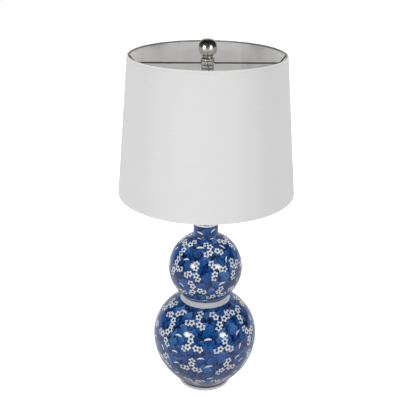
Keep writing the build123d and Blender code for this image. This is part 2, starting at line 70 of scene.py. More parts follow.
studio = {  # angles in degrees from the front, sizes in metres, powers in watts
    "aim": (0, 0, 0.35),
    "frontLamps": {"height": 0.74, "distance": 1.25, "width": 0.28},
    "backLamps": {"height": 1.3, "distance": 1.9, "width": 0.8, "power": 15.0},
    "topLamp": {"height": 2.3, "distance": 0.25, "width": 1.1, "power": 13.0},
    "frontAngle": 42, "backAngle": 140, "leftPower": 6.1, "rightPower": 5.1,
    "ambientLow": 0.15, "ambientHigh": 0.50,
    # what glazed and plated faces mirror
    "frontDark": 0.02, "backBright": 0.70, "topDark": 0.08, "floorMirrored": 0.20,
    "floorSize": 6.0, "floorShown": 0.86, "floorDark": 0.50, "floorPale": 0.54,
}


def makeLamp(name, angle, height, distance, width, power, mirrored=False):
    data = bpy.data.lights.new(name, "AREA")
    data.shape = "DISK"
    data.size = width
    data.energy = power
    lamp = bpy.data.objects.new(name, data)
    scene.collection.objects.link(lamp)
    a = radians(angle)
    lamp.location = (sin(a) * distance, -cos(a) * distance, height)
    lamp.rotation_euler = (Vector(studio["aim"]) - lamp.location).to_track_quat("-Z", "Y").to_euler()
    lamp.visible_camera = False
    lamp.visible_glossy = mirrored


def makeStudio(s):
    makeLamp("lampLeft", -s["frontAngle"], power=s["leftPower"], mirrored=True, **s["frontLamps"])
    makeLamp("lampRight", s["frontAngle"], power=s["rightPower"], mirrored=True, **s["frontLamps"])
    makeLamp("lampBackLeft", -s["backAngle"], **s["backLamps"])
    makeLamp("lampBackRight", s["backAngle"], **s["backLamps"])
    makeLamp("lampAbove", 0, **s["topLamp"])


# node helpers

def plug(tree, socket, value):
    if isinstance(value, bpy.types.NodeSocket):
        tree.links.new(value, socket)
    elif value is not None:
        socket.default_value = value


def sums(tree, operation, *values, clamp=False):
    node = tree.nodes.new("ShaderNodeMath")
    node.operation = operation
    node.use_clamp = clamp
    for socket, value in zip(node.inputs, values):
        plug(tree, socket, value)
    return node.outputs[0]


def spans(tree, value, low, high, toLow=0.0, toHigh=1.0, smooth=True):
    node = tree.nodes.new("ShaderNodeMapRange")
    node.interpolation_type = "SMOOTHSTEP" if smooth else "LINEAR"
    for socket, v in zip(node.inputs, (value, low, high, toLow, toHigh)):
        plug(tree, socket, v)
    return node.outputs[0]


def blendColors(tree, factor, a, b, mode="MIX"):
    node = tree.nodes.new("ShaderNodeMix")
    node.data_type = "RGBA"
    node.blend_type = mode
    plug(tree, node.inputs[0], factor)
    plug(tree, node.inputs[6], a)
    plug(tree, node.inputs[7], b)
    return node.outputs[2]


def noise(tree, vector, scale, detail=2.0, rough=0.5, distortion=0.0):
    node = tree.nodes.new("ShaderNodeTexNoise")
    plug(tree, node.inputs["Vector"], vector)
    node.inputs["Scale"].default_value = scale
    node.inputs["Detail"].default_value = detail
    node.inputs["Roughness"].default_value = rough
    node.inputs["Distortion"].default_value = distortion
    return node


def vectorSums(tree, operation, a, b=None, scale=None):
    node = tree.nodes.new("ShaderNodeVectorMath")
    node.operation = operation
    plug(tree, node.inputs[0], a)
    plug(tree, node.inputs[1], b)
    if scale is not None:
        plug(tree, node.inputs["Scale"], scale)
    return node.outputs["Value"] if operation in ("DOT_PRODUCT", "LENGTH", "DISTANCE") else node.outputs[0]


def splitVector(tree, vector):
    node = tree.nodes.new("ShaderNodeSeparateXYZ")
    plug(tree, node.inputs[0], vector)
    return node.outputs


def joinVector(tree, x, y, z):
    node = tree.nodes.new("ShaderNodeCombineXYZ")
    for socket, value in zip(node.inputs, (x, y, z)):
        plug(tree, socket, value)
    return node.outputs[0]


def objectPlace(tree):
    return tree.nodes.new("ShaderNodeTexCoord").outputs["Object"]


def bumps(tree, height, distance, strength=1.0):
    node = tree.nodes.new("ShaderNodeBump")
    node.inputs["Strength"].default_value = strength
    node.inputs["Distance"].default_value = distance
    plug(tree, node.inputs["Height"], height)
    return node.outputs[0]


def newGroup(name, takes, gives):
    group = bpy.data.node_groups.new(name, "ShaderNodeTree")
    for label, kind, value in takes:
        socket = group.interface.new_socket(label, in_out="INPUT", socket_type=kind)
        if value is not None:
            socket.default_value = value
    for label, kind in gives:
        group.interface.new_socket(label, in_out="OUTPUT", socket_type=kind)
    return group, group.nodes.new("NodeGroupInput").outputs, group.nodes.new("NodeGroupOutput").inputs


def useGroup(tree, group, **values):  # values by the names of the group's inputs
    node = tree.nodes.new("ShaderNodeGroup")
    node.node_tree = group
    for label, value in values.items():
        plug(tree, node.inputs[label], value)
    return node.outputs


def newMaterial(name, **plain):
    material = bpy.data.materials.new(name)
    material.use_nodes = True
    shader = material.node_tree.nodes["Principled BSDF"]
    for label, value in plain.items():
        plug(material.node_tree, shader.inputs[label], value)
    return material, material.node_tree, shader.inputs


def darker(color, share):
    return tuple(c * share for c in color[:3]) + (1,)


# shared effects

motifReach = 4.0  # how far a motif's coordinates run on
kindStep = 10.0  # side flowers lie one step to the right, strokes two


def plumBlossomGroup():  # one motif, whose Place runs to 1 at its tips
    group, takes, gives = newGroup(
        "plumBlossom", [("Place", "NodeSocketVector", None)],
        [("White", "NodeSocketFloat"), ("Wash", "NodeSocketFloat"), ("Dark", "NodeSocketFloat"),
         ("Dash", "NodeSocketFloat")])
    part = splitVector(group, takes["Place"])
    kind = sums(group, "ROUND", sums(group, "DIVIDE", part[0], kindStep))
    x = sums(group, "SUBTRACT", part[0], sums(group, "MULTIPLY", kind, kindStep))
    y = part[1]
    isOpen = sums(group, "COMPARE", kind, 0.0, 0.3)
    isSide = sums(group, "COMPARE", kind, 1.0, 0.3)
    isDash = sums(group, "COMPARE", kind, 2.0, 0.3)
    away = sums(group, "SQRT", sums(group, "ADD", sums(group, "MULTIPLY", x, x), sums(group, "MULTIPLY", y, y)))
    angle = sums(group, "ARCTAN2", y, x)
    fifth = 2 * pi / 5
    inPetal = sums(group, "FLOORED_MODULO", sums(group, "ADD", angle, fifth / 2), fifth)
    inPetal = sums(group, "SUBTRACT", inPetal, fifth / 2)
    turned = sums(group, "DIVIDE", sums(group, "ABSOLUTE", inPetal), fifth / 2)  # 0 along a petal, 1 between two
    edge = sums(group, "SUBTRACT", 1.02, sums(group, "MULTIPLY", sums(group, "POWER", turned, 1.3), 0.40))
    depth = sums(group, "SUBTRACT", edge, away)
    petal = spans(group, depth, -0.05, 0.06)
    heartEdge = sums(group, "SUBTRACT", 0.40, sums(group, "MULTIPLY", turned, 0.10))
    heart = spans(group, sums(group, "SUBTRACT", away, heartEdge), 0.05, -0.05)
    notch = sums(group, "MULTIPLY", spans(group, turned, 0.72, 0.95), spans(group, away, 0.40, 0.50))
    half = spans(group, x, -0.34, -0.20)  # side flowers keep the petals that point outwards
    shown = sums(group, "ADD", isOpen, sums(group, "MULTIPLY", isSide, half))
    full = sums(group, "MULTIPLY", petal, sums(group, "SUBTRACT", 1.0, heart))
    full = sums(group, "MULTIPLY", full, sums(group, "SUBTRACT", 1.0, sums(group, "MULTIPLY", notch, 0.35)))
    group.links.new(sums(group, "MULTIPLY", full, shown, clamp=True), gives["White"])
    inner = sums(group, "MULTIPLY", spans(group, depth, 0.20, 0.32), sums(group, "SUBTRACT", 1.0, heart))
    strength = sums(group, "ADD", sums(group, "MULTIPLY", isSide, 0.85), sums(group, "MULTIPLY", isOpen, 0.22))
    tint = sums(group, "MULTIPLY", inner, strength)
    group.links.new(sums(group, "MULTIPLY", tint, shown, clamp=True), gives["Wash"])
    rim = spans(group, depth, -0.24, -0.08)
    outlined = sums(group, "MAXIMUM", heart, sums(group, "MULTIPLY", rim, 0.55))
    group.links.new(sums(group, "MULTIPLY", outlined, shown, clamp=True), gives["Dark"])
    # a stroke bends a little and thins towards its ends
    squared = sums(group, "MULTIPLY", x, x)
    bend = sums(group, "ADD", y, sums(group, "MULTIPLY", squared, 0.22))
    thinner = sums(group, "MULTIPLY", squared, 0.16)
    stroke = spans(group, sums(group, "ABSOLUTE", bend),
                   sums(group, "SUBTRACT", 0.30, thinner), sums(group, "SUBTRACT", 0.19, thinner))
    stroke = sums(group, "MULTIPLY", stroke, spans(group, sums(group, "ABSOLUTE", x), 1.05, 0.92))
    group.links.new(sums(group, "MULTIPLY", stroke, isDash, clamp=True), gives["Dash"])
    return group


def crackedIceGroup():  # blue washes laid side by side, darker where one meets the next
    group, takes, gives = newGroup(
        "crackedIce", [("Place", "NodeSocketVector", None), ("Cells per Metre", "NodeSocketFloat", 50.0)],
        [("Line", "NodeSocketFloat"), ("Wash", "NodeSocketFloat")])
    shake = noise(group, takes["Place"], 26.0, 5.0, 0.62)
    offset = vectorSums(group, "SUBTRACT", shake.outputs["Color"], (0.5, 0.5, 0.5))
    offset = vectorSums(group, "SCALE", offset, scale=0.046)
    place = vectorSums(group, "ADD", takes["Place"], offset)
    edge = group.nodes.new("ShaderNodeTexVoronoi")
    edge.feature = "DISTANCE_TO_EDGE"
    group.links.new(place, edge.inputs["Vector"])
    group.links.new(takes["Cells per Metre"], edge.inputs["Scale"])
    cell = group.nodes.new("ShaderNodeTexVoronoi")
    group.links.new(place, cell.inputs["Vector"])
    group.links.new(takes["Cells per Metre"], cell.inputs["Scale"])
    broken = noise(group, takes["Place"], 62.0, 3.0, 0.6)
    width = spans(group, broken.outputs[0], 0.36, 0.68, 0.0, 0.12)
    line = spans(group, edge.outputs["Distance"], sums(group, "ADD", width, 0.03), sums(group, "MULTIPLY", width, 0.30))
    line = sums(group, "MULTIPLY", line, spans(group, broken.outputs[0], 0.36, 0.46))
    group.links.new(line, gives["Line"])
    # each wash runs from dark to pale across its cell
    local = vectorSums(group, "SUBTRACT", vectorSums(group, "SCALE", place, scale=takes["Cells per Metre"]),
                       vectorSums(group, "SCALE", cell.outputs["Position"], scale=takes["Cells per Metre"]))
    hue = splitVector(group, cell.outputs["Color"])
    towards = vectorSums(group, "SUBTRACT", cell.outputs["Color"], (0.5, 0.5, 0.1))
    slope = vectorSums(group, "DOT_PRODUCT", local, towards)
    mottle = noise(group, takes["Place"], 190.0, 4.0, 0.70)
    brush = noise(group, vectorSums(group, "MULTIPLY", place, (0.55, 0.55, 1.0)), 330.0, 3.0, 0.65, 1.2)
    wash = sums(group, "ADD", sums(group, "MULTIPLY", slope, 0.80), sums(group, "MULTIPLY", hue[0], 0.34))
    wash = sums(group, "ADD", wash, sums(group, "MULTIPLY", mottle.outputs[0], 0.95))
    wash = sums(group, "ADD", wash, sums(group, "MULTIPLY", brush.outputs[0], 0.80))
    group.links.new(sums(group, "SUBTRACT", wash, 0.58, clamp=True), gives["Wash"])
    return group


def linenWeaveGroup():  # plain weave wrapped round the upright axis, with thicker slub threads both ways
    group, takes, gives = newGroup(
        "linenWeave", [("Place", "NodeSocketVector", None), ("Threads Around", "NodeSocketFloat", 1100.0),
                       ("Rows per Metre", "NodeSocketFloat", 1050.0), ("Slub", "NodeSocketFloat", 0.5)],
        [("Tone", "NodeSocketFloat"), ("Height", "NodeSocketFloat")])
    part = splitVector(group, takes["Place"])
    turn = sums(group, "ARCTAN2", part[0], sums(group, "MULTIPLY", part[1], -1.0))
    u = sums(group, "SINE", sums(group, "MULTIPLY", turn, sums(group, "MULTIPLY", takes["Threads Around"], 0.5)))
    v = sums(group, "SINE", sums(group, "MULTIPLY", part[2], sums(group, "MULTIPLY", takes["Rows per Metre"], pi)))
    crossing = sums(group, "MULTIPLY", sums(group, "MULTIPLY", u, v), 0.45)
    warp = sums(group, "MULTIPLY", sums(group, "ABSOLUTE", u), sums(group, "ADD", 0.55, crossing))
    weft = sums(group, "MULTIPLY", sums(group, "ABSOLUTE", v), sums(group, "SUBTRACT", 0.55, crossing))
    thread = sums(group, "MAXIMUM", warp, weft)
    level = noise(group, vectorSums(group, "MULTIPLY", takes["Place"], (26.0, 26.0, 620.0)), 1.0, 3.0, 0.6)
    upright = noise(group, vectorSums(group, "MULTIPLY", takes["Place"], (620.0, 620.0, 22.0)), 1.0, 3.0, 0.6)
    slub = sums(group, "ADD", sums(group, "MULTIPLY", spans(group, level.outputs[0], 0.35, 0.75, -0.6, 1.0), 0.6),
                sums(group, "MULTIPLY", spans(group, upright.outputs[0], 0.35, 0.75, -0.6, 1.0), 0.4))
    slub = sums(group, "MULTIPLY", slub, takes["Slub"])
    # thread tops come out paler than the gaps between threads, a painted shade; slubs vary the tone at random
    tone = sums(group, "ADD", sums(group, "MULTIPLY", thread, 0.55), sums(group, "ADD", slub, 0.2), clamp=True)
    group.links.new(tone, gives["Tone"])
    group.links.new(sums(group, "ADD", thread, slub), gives["Height"])
    return group


def rubbedGroup():  # cloudy rubbing with fine scratches round the upright axis
    group, takes, gives = newGroup(
        "rubbed", [("Place", "NodeSocketVector", None), ("Grain", "NodeSocketFloat", 900.0),
                   ("Stretch", "NodeSocketFloat", 0.15)],
        [("Rub", "NodeSocketFloat"), ("Height", "NodeSocketFloat")])
    cloud = noise(group, takes["Place"], 60.0, 3.0, 0.6)
    part = splitVector(group, vectorSums(group, "SCALE", takes["Place"], scale=takes["Grain"]))
    drawn = joinVector(group, sums(group, "MULTIPLY", part[0], takes["Stretch"]),
                       sums(group, "MULTIPLY", part[1], takes["Stretch"]), part[2])
    scratch = noise(group, drawn, 1.0, 3.0, 0.65)
    rub = sums(group, "ADD", sums(group, "MULTIPLY", cloud.outputs[0], 0.35),
               sums(group, "MULTIPLY", scratch.outputs[0], 0.65))
    group.links.new(spans(group, rub, 0.30, 0.70), gives["Rub"])
    group.links.new(scratch.outputs[0], gives["Height"])
    return group


def fleckGroup():  # fine grain with paler clouds
    group, takes, gives = newGroup(
        "fleck", [("Place", "NodeSocketVector", None), ("Grain", "NodeSocketFloat", 700.0)],
        [("Fleck", "NodeSocketFloat"), ("Height", "NodeSocketFloat")])
    fine = noise(group, vectorSums(group, "SCALE", takes["Place"], scale=takes["Grain"]), 1.0, 4.0, 0.65)
    cloud = noise(group, takes["Place"], 45.0, 2.0, 0.5)
    mixed = sums(group, "ADD", sums(group, "MULTIPLY", fine.outputs[0], 0.75),
                 sums(group, "MULTIPLY", cloud.outputs[0], 0.25))
    group.links.new(spans(group, mixed, 0.32, 0.68), gives["Fleck"])
    group.links.new(fine.outputs[0], gives["Height"])
    return group


plumBlossom = plumBlossomGroup()
crackedIce = crackedIceGroup()
linenWeave = linenWeaveGroup()
rubbed = rubbedGroup()
fleck = fleckGroup()
print("shared effects made")


# ceramic gourd

gourd = {  # millimetres
    "footRadius": 57.5, "footHeight": 11.0, "footRound": 1.6, "footLine": 2.0, "footLineDepth": 0.5,
    "felt": 1.5, "footWall": 8.0, "recess": 13.7, "floorTop": 20.7, "pipeHole": 5.6, "cordHole": 5.3,
    "bellyRadius": 112.0, "bellyHeight": 121.0, "bellyRise": 99.0, "bellyFullness": 57.5,
    "toeLength": 30.0, "toeAngle": 47.0,
    "waistRadius": 53.4, "waistTopRadius": 50.4, "waistHeight": 13.0, "bandCover": 1.8,
    "globeRadius": 78.0, "neckRadius": 26.0, "neckBlend": 3.0, "neckLength": 29.5, "lipRound": 1.8,
    "wall": 6.0, "recessRound": 2.0, "rimBevel": 1.0, "lineBevel": 0.3, "floorLean": 0.55, "holeDepth": 30.0,
    "around": 240, "steps": 14, "insideSteps": 4,
}


def arcKnots(centre, radii, start, end, count):  # knots of an ellipse arc with their handles
    pull = 4 / 3 * tan(radians(end - start) / count / 4)
    knots = []
    for i in range(count + 1):
        a = radians(start + (end - start) * i / count)
        spot = Vector((centre[0] + radii[0] * cos(a), centre[1] + radii[1] * sin(a)))
        along = Vector((-radii[0] * sin(a), radii[1] * cos(a))) * pull
        knots.append([spot - along, spot, spot + along])
    return knots


def straightKnots(start, end, count):
    start, end = Vector(start), Vector(end)
    third = (end - start) / count / 3
    spots = [start + third * 3 * i for i in range(count + 1)]
    return [[spot - third, spot, spot + third] for spot in spots]


def cornerRuns(*corners):  # straight runs from corner to corner
    return [straightKnots(a, b, 1) for a, b in zip(corners, corners[1:])]


def halveCurve(a, b, c, d):  # the two halves of a Bezier run
    ab, bc, cd = a.lerp(b, 0.5), b.lerp(c, 0.5), c.lerp(d, 0.5)
    abc, bcd = ab.lerp(bc, 0.5), bc.lerp(cd, 0.5)
    middle = abc.lerp(bcd, 0.5)
    return (a, ab, abc, middle), (middle, bcd, cd, d)


def reachAngle(part, whole):  # how far up an arc its radius has drawn in to part
    return degrees(asin(sqrt(1 - (part / whole) ** 2)))


def joinKnots(*runs):  # one outline; runs that meet share their knot
    knots = []
    for run in runs:
        if knots and (knots[-1][1] - run[0][1]).length < 1e-4:
            knots[-1][2] = run[0][2]
            run = run[1:]
        knots.extend([list(k) for k in run])
    return knots


def outlineMesh(knots, steps):  # radius and height in millimetres
    curve = bpy.data.curves.new("outline", "CURVE")
    curve.dimensions = "3D"
    curve.resolution_u = steps
    spline = curve.splines.new("BEZIER")
    spline.bezier_points.add(len(knots) - 1)
    for point, (before, spot, after) in zip(spline.bezier_points, knots):
        point.handle_left_type = point.handle_right_type = "FREE"
        point.co = (spot.x * mm, 0, spot.y * mm)
        point.handle_left = (before.x * mm, 0, before.y * mm)
        point.handle_right = (after.x * mm, 0, after.y * mm)
    helper = bpy.data.objects.new("outline", curve)
    mesh = bpy.data.meshes.new_from_object(helper)
    bpy.data.objects.remove(helper)
    return mesh


def spinOutline(bm, around):
    bmesh.ops.remove_doubles(bm, verts=bm.verts, dist=1e-6)
    bmesh.ops.spin(bm, geom=bm.verts[:] + bm.edges[:], axis=(0, 0, 1), cent=(0, 0, 0), steps=around, angle=2 * pi,
                   use_merge=True, use_duplicate=False)
    bmesh.ops.remove_doubles(bm, verts=bm.verts, dist=1e-6)
    bmesh.ops.recalc_face_normals(bm, faces=bm.faces)


def addPiece(bm, name, material, body, stands, smooth=True):
    mesh = bpy.data.meshes.new(name)
    bm.to_mesh(mesh)
    bm.free()
    mesh.materials.append(material)
    mesh.polygons.foreach_set("use_smooth", [smooth] * len(mesh.polygons))
    piece = bpy.data.objects.new(name, mesh)
    scene.collection.objects.link(piece)
    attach(piece, body)
    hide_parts(*stands)


# heights that follow from the gourd's sizes
g = gourd
waistBottom = g["bellyHeight"] + g["bellyRise"] * sqrt(1 - (g["waistRadius"] / g["bellyRadius"]) ** 2)
waistTop = waistBottom + g["waistHeight"]
globeHeight = waistTop + sqrt(g["globeRadius"] ** 2 - g["waistTopRadius"] ** 2)
neckBottom = globeHeight + sqrt(g["globeRadius"] ** 2 - g["neckRadius"] ** 2)
lipHeight = neckBottom + g["neckLength"]


def gourdSide(inset):  # the glaze line from the foot ring up to the lip
    lean = radians(g["toeAngle"])
    toe = Vector((g["footRadius"], g["footHeight"] + inset / cos(lean)))
    widest = Vector((g["bellyRadius"] - inset, g["bellyHeight"]))
    toeEnd = toe + Vector((cos(lean), sin(lean))) * g["toeLength"]
    full = widest - Vector((0, g["bellyFullness"]))
    # halved, so that its faces are as small as the shoulder's
    lower, upper = halveCurve(toe, toeEnd, full, widest)
    side = [[lower[0], lower[0], lower[1]], [lower[2], lower[3], upper[1]], [upper[2], upper[3], upper[3]]]
    belly, globe = g["bellyRadius"] - inset, g["globeRadius"] - inset
    waist, waistTopRadius, neckRadius = g["waistRadius"] - inset, g["waistTopRadius"] - inset, g["neckRadius"] - inset
    shoulder = arcKnots((0, g["bellyHeight"]), (belly, g["bellyRise"] - inset), 0, reachAngle(waist, belly), 3)
    bandTop = Vector((waistTopRadius, globeHeight - sqrt(globe ** 2 - waistTopRadius ** 2)))
    band = straightKnots(shoulder[-1][1], bandTop, 1)
    low, high = -reachAngle(waistTopRadius, globe), reachAngle(neckRadius, globe)
    ball = arcKnots((0, globeHeight), (globe, globe), low, high, 6)
    return side, shoulder, band, ball, neckRadius


def gourdOutline():
    side, shoulder, band, _, neckRadius = gourdSide(0)
    blend, globe = g["neckBlend"], g["globeRadius"]
    # the neck meets the globe in a small blend
    centre = Vector((neckRadius + blend, globeHeight + sqrt((globe + blend) ** 2 - (neckRadius + blend) ** 2)))
    touch = Vector((0, globeHeight)) + (centre - Vector((0, globeHeight))).normalized() * globe
    leave = degrees(asin((touch.y - globeHeight) / globe))
    ball = arcKnots((0, globeHeight), (globe, globe), -reachAngle(g["waistTopRadius"], globe), leave, 6)
    turn = degrees(atan2(touch.y - centre.y, touch.x - centre.x))
    fillet = arcKnots(centre, (blend, blend), turn, -180, 1)
    lip = g["lipRound"]
    neck = straightKnots((neckRadius, centre.y), (neckRadius, lipHeight - lip), 2)
    lipArc = arcKnots((neckRadius - lip, lipHeight - lip), (lip, lip), 0, 90, 1)
    foot, top, edge, bevel = g["footRadius"], g["footHeight"], g["footRound"], g["lineBevel"]
    groove, lineLow = foot - g["footLineDepth"], top - g["footLine"]
    footEdge = arcKnots((foot - edge, g["felt"] + edge), (edge, edge), -90, 0, 1)
    footSide = cornerRuns((foot, g["felt"] + edge), (foot, lineLow), (groove, lineLow + bevel),
                          (groove, top - bevel), (foot, top))
    inside = gourdSide(g["wall"])
    bore = inside[4]
    rim = straightKnots((neckRadius - lip, lipHeight), (bore + g["rimBevel"], lipHeight), 1)
    return joinKnots(footEdge, *footSide, side, shoulder, band, ball, fillet, neck, lipArc, rim), inside, bore


def gourdInner(inside, bore):  # down the inside, over the floor and out of the foot
    side, shoulder, band, ball, _ = inside
    floor, roof, hole, corner, rim = g["floorTop"], g["recess"], g["pipeHole"], g["recessRound"], g["rimBevel"]
    floorRadius = g["footRadius"] + (floor - g["footHeight"]) * g["floorLean"] - g["wall"]
    recess = g["footRadius"] - g["footWall"]
    down = [[k[2], k[1], k[0]] for k in reversed(joinKnots(side[1:], shoulder, band, ball))]
    return joinKnots(
        *cornerRuns((bore + rim, lipHeight), (bore, lipHeight - rim), down[0][1]), down,
        *cornerRuns(down[-1][1], (floorRadius, floor), (hole, floor), (hole, roof), (recess - corner, roof)),
        arcKnots((recess - corner, roof - corner), (corner, corner), 90, 0, 1),
        *cornerRuns((recess, roof - corner), (recess, g["felt"]), (g["footRadius"] - g["footRound"], g["felt"])))


def makeGourdMesh():
    outer, inside, bore = gourdOutline()
    inner = gourdInner(inside, bore)
    bm = bmesh.new()
    bm.from_mesh(outlineMesh(outer, g["steps"]))
    sideLayer = bm.verts.layers.float.new("alongSide")
    bm.verts.ensure_lookup_table()
    length = 0.0
    sidePoints = []
    for i, v in enumerate(bm.verts):
        if i:
            length += (v.co - bm.verts[i - 1].co).length
        v[sideLayer] = length
        sidePoints.append((length, v.co.x, v.co.z))
    bm.from_mesh(outlineMesh(inner, g["insideSteps"]))
    bm.verts.ensure_lookup_table()
    for v in bm.verts[len(sidePoints):]:
        v[sideLayer] = -1.0
    spinOutline(bm, g["around"])
    openCordHole(bm)
    return bm, sidePoints


def openCordHole(bm):  # through both faces of the wall, under the bush's flange
    inlet = [m for m in frame["record"]["mounts"] if m["name"] == "cord_inlet"][0]
    centre, axis = Vector(inlet["pos_m"]), Vector(inlet["axis"]).normalized()
    inHole = []
    for face in bm.faces:
        away = face.calc_center_median() - centre
        if away.cross(axis).length < g["cordHole"] * mm and away.length < g["holeDepth"] * mm:
            inHole.append(face)
    bmesh.ops.delete(bm, geom=inHole, context="FACES")
    rims = [e for e in bm.edges if e.is_boundary]
    bmesh.ops.bridge_loops(bm, edges=rims)


# degrees round from the front, millimetres up, and which way each of the spray's arms points
sprays = [
    (-54, 341, (52, 168, 272)), (18, 341, (118, 214, 341)), (71, 342, (122, 305, 20)),
    (-56, 301, (88, 355, 250)), (-19, 303, (66, 214, 314)), (19, 307, (5, 238, 124)), (51, 300, (102, 248, 22)),
    (-15, 264, (126, 226, 350)), (20, 249, (74, 208, 338)), (-50, 246, (150, 260, 20)), (88, 298, (60, 190, 300)),
    (58, 250, (40, 160, 280)),
    (-78, 190, (58, 232, 140)), (-52, 188, (55, 190, 300)), (-13, 191, (67, 208, 320)), (24, 192, (135, 250, 0)),
    (57, 191, (140, 275, 14)),
    (-51, 150, (72, 298, 180)), (-14, 149, (112, 206, 330)), (22, 147, (70, 215, 325)), (60, 147, (110, 265, 10)),
    (-15, 97, (76, 200, 335)), (24, 93, (82, 215, 345)), (-52, 92, (60, 185, 300)), (60, 88, (100, 220, 340)),
    (-14, 48, (20, 160, 270)), (24, 44, (30, 150, 265)), (-56, 46, (30, 160, 280)), (64, 44, (30, 150, 265)),
    (95, 150, (80, 200, 322)), (94, 97, (104, 225, 340)), (94, 46, (25, 155, 270)),
]
strokes = [  # degrees round, millimetres up, turn, half length in millimetres
    (-27, 369, -15, 7), (36, 374, 28, 6.5), (-32, 356, 0, 4.5), (30, 356, 0, 4), (-14, 345, 8, 8), (47, 343, -58, 6.5),
    (-37, 323, 22, 6.5), (40, 323, 62, 6.5), (-39, 268, -25, 6.5), (26, 278, 15, 7.5), (-25, 230, 0, 6),
    (58, 272, 40, 5), (-79, 328, 60, 6), (-75, 270, -50, 6), (0, 232, 0, 6), (-90, 300, 80, 5),
    (-38, 200, -20, 7), (38, 199, 85, 6.5), (-32, 163, 0, 8), (4, 163, 5, 8), (43, 164, 30, 7), (42, 136, 62, 7),
    (-52, 122, -48, 7), (-34, 128, 5, 7), (78, 167, 75, 7), (-4, 123, 5, 7.5), (-33, 100, 20, 7), (5, 103, 15, 8),
    (38, 113, 28, 7), (7, 64, 5, 7), (44, 100, 30, 6.5), (80, 120, 40, 7), (-72, 128, 30, 7), (-75, 66, 10, 7),
    (82, 66, 20, 7), (-36, 66, 25, 7), (42, 66, -10, 7), (-68, 215, 20, 6), (76, 214, -20, 6),
]
flower = {  # millimetres, turns in radians
    "radius": 7.5, "near": 9.9, "far": 18.3, "upperShare": 0.94, "upperFrom": 215,
    "armBend": 0.16, "nearTurn": 0.3, "farTurn": 0.35,
    "backAngle": 180, "backTurn": 47,  # the back has the front's sprays, turned
}


def sideAt(sidePoints, height):  # place along the side for a height
    for (a, ra, za), (b, rb, zb) in zip(sidePoints, sidePoints[1:]):
        if za <= height <= zb and zb > za:
            return a + (b - a) * (height - za) / (zb - za)
    return sidePoints[-1][0]


def radiusAt(sidePoints, along):
    for (a, ra, za), (b, rb, zb) in zip(sidePoints, sidePoints[1:]):
        if a <= along <= b and b > a:
            share = (along - a) / (b - a)
            return ra + (rb - ra) * share, za + (zb - za) * share
    return sidePoints[-1][1:]


def motifPlaces(sidePoints):  # (angle, along, turn, radius, kind) of each flower and stroke, front and back
    places = []
    for half, lean in ((0, 0), (flower["backAngle"], flower["backTurn"])):
        for angle, height, arms in sprays:
            along = sideAt(sidePoints, height * mm)
            size = flower["upperShare"] if height > flower["upperFrom"] else 1.0
            radius = flower["radius"] * size * mm
            for n, arm in enumerate(arms):
                arm = radians(arm + lean)
                bent = arm + flower["armBend"] * sin(height + n * 2)
                nearTurn = arm + flower["nearTurn"] + n
                farTurn = arm + flower["farTurn"] * sin(height + n * 5)
                for reach, way, turn, kind in ((flower["near"], arm, nearTurn, 0), (flower["far"], bent, farTurn, 1)):
                    d = reach * size * mm
                    spot = along + d * sin(way)
                    around = radians(angle + half) + d * cos(way) / radiusAt(sidePoints, spot)[0]
                    places.append((around, spot, turn, radius, kind))
        for angle, height, turn, reach in strokes:
            places.append((radians(angle + half), sideAt(sidePoints, height * mm), radians(turn), reach * mm, 2))
    return places


def paintMotifs(bm, sidePoints, places):  # each face carries the two nearest motifs' own coordinates
    tree = KDTree(len(places))
    for i, (angle, along, turn, radius, kind) in enumerate(places):
        r, z = radiusAt(sidePoints, along)
        tree.insert((sin(angle) * r, -cos(angle) * r, z), i)
    tree.balance()
    sideLayer = bm.verts.layers.float["alongSide"]
    layers = [bm.loops.layers.uv.new("motifNear"), bm.loops.layers.uv.new("motifNext")]
    for face in bm.faces:
        if any(v[sideLayer] < 0 for v in face.verts):
            for loop in face.loops:
                for layer in layers:
                    loop[layer].uv = (motifReach, motifReach)
            continue
        for layer, (_, i, _) in zip(layers, tree.find_n(face.calc_center_median(), 2)):
            angle, along, turn, radius, kind = places[i]
            for loop in face.loops:
                co = loop.vert.co
                away = (atan2(co.x, -co.y) - angle + pi) % (2 * pi) - pi
                x = away * Vector((co.x, co.y)).length / radius
                y = (loop.vert[sideLayer] - along) / radius
                u = x * cos(turn) + y * sin(turn)
                w = -x * sin(turn) + y * cos(turn)
                u, w = (max(-motifReach, min(motifReach, c)) for c in (u, w))
                loop[layer].uv = (u + kindStep * kind, w)


glaze = {
    "dark": (0.0006, 0.0110, 0.0800, 1), "mid": (0.0060, 0.0700, 0.2700, 1), "light": (0.0750, 0.1950, 0.4350, 1),
    "line": (0.0008, 0.0035, 0.0260, 1), "white": (0.750, 0.750, 0.715, 1), "petal": (0.230, 0.320, 0.460, 1),
    # the waist band's two whites are set darker than the lip and foot white: painted shade under the globe
    "band": (0.600, 0.600, 0.585, 1), "bandShade": (0.500, 0.505, 0.505, 1),
    "roughness": 0.40, "specular": 0.06, "coatRoughness": 0.14, "coatIor": 1.46,
    "wobble": 1.2, "enamelRise": 0.12,  # how far the painted edges wander in millimetres, and the white's thickness
}


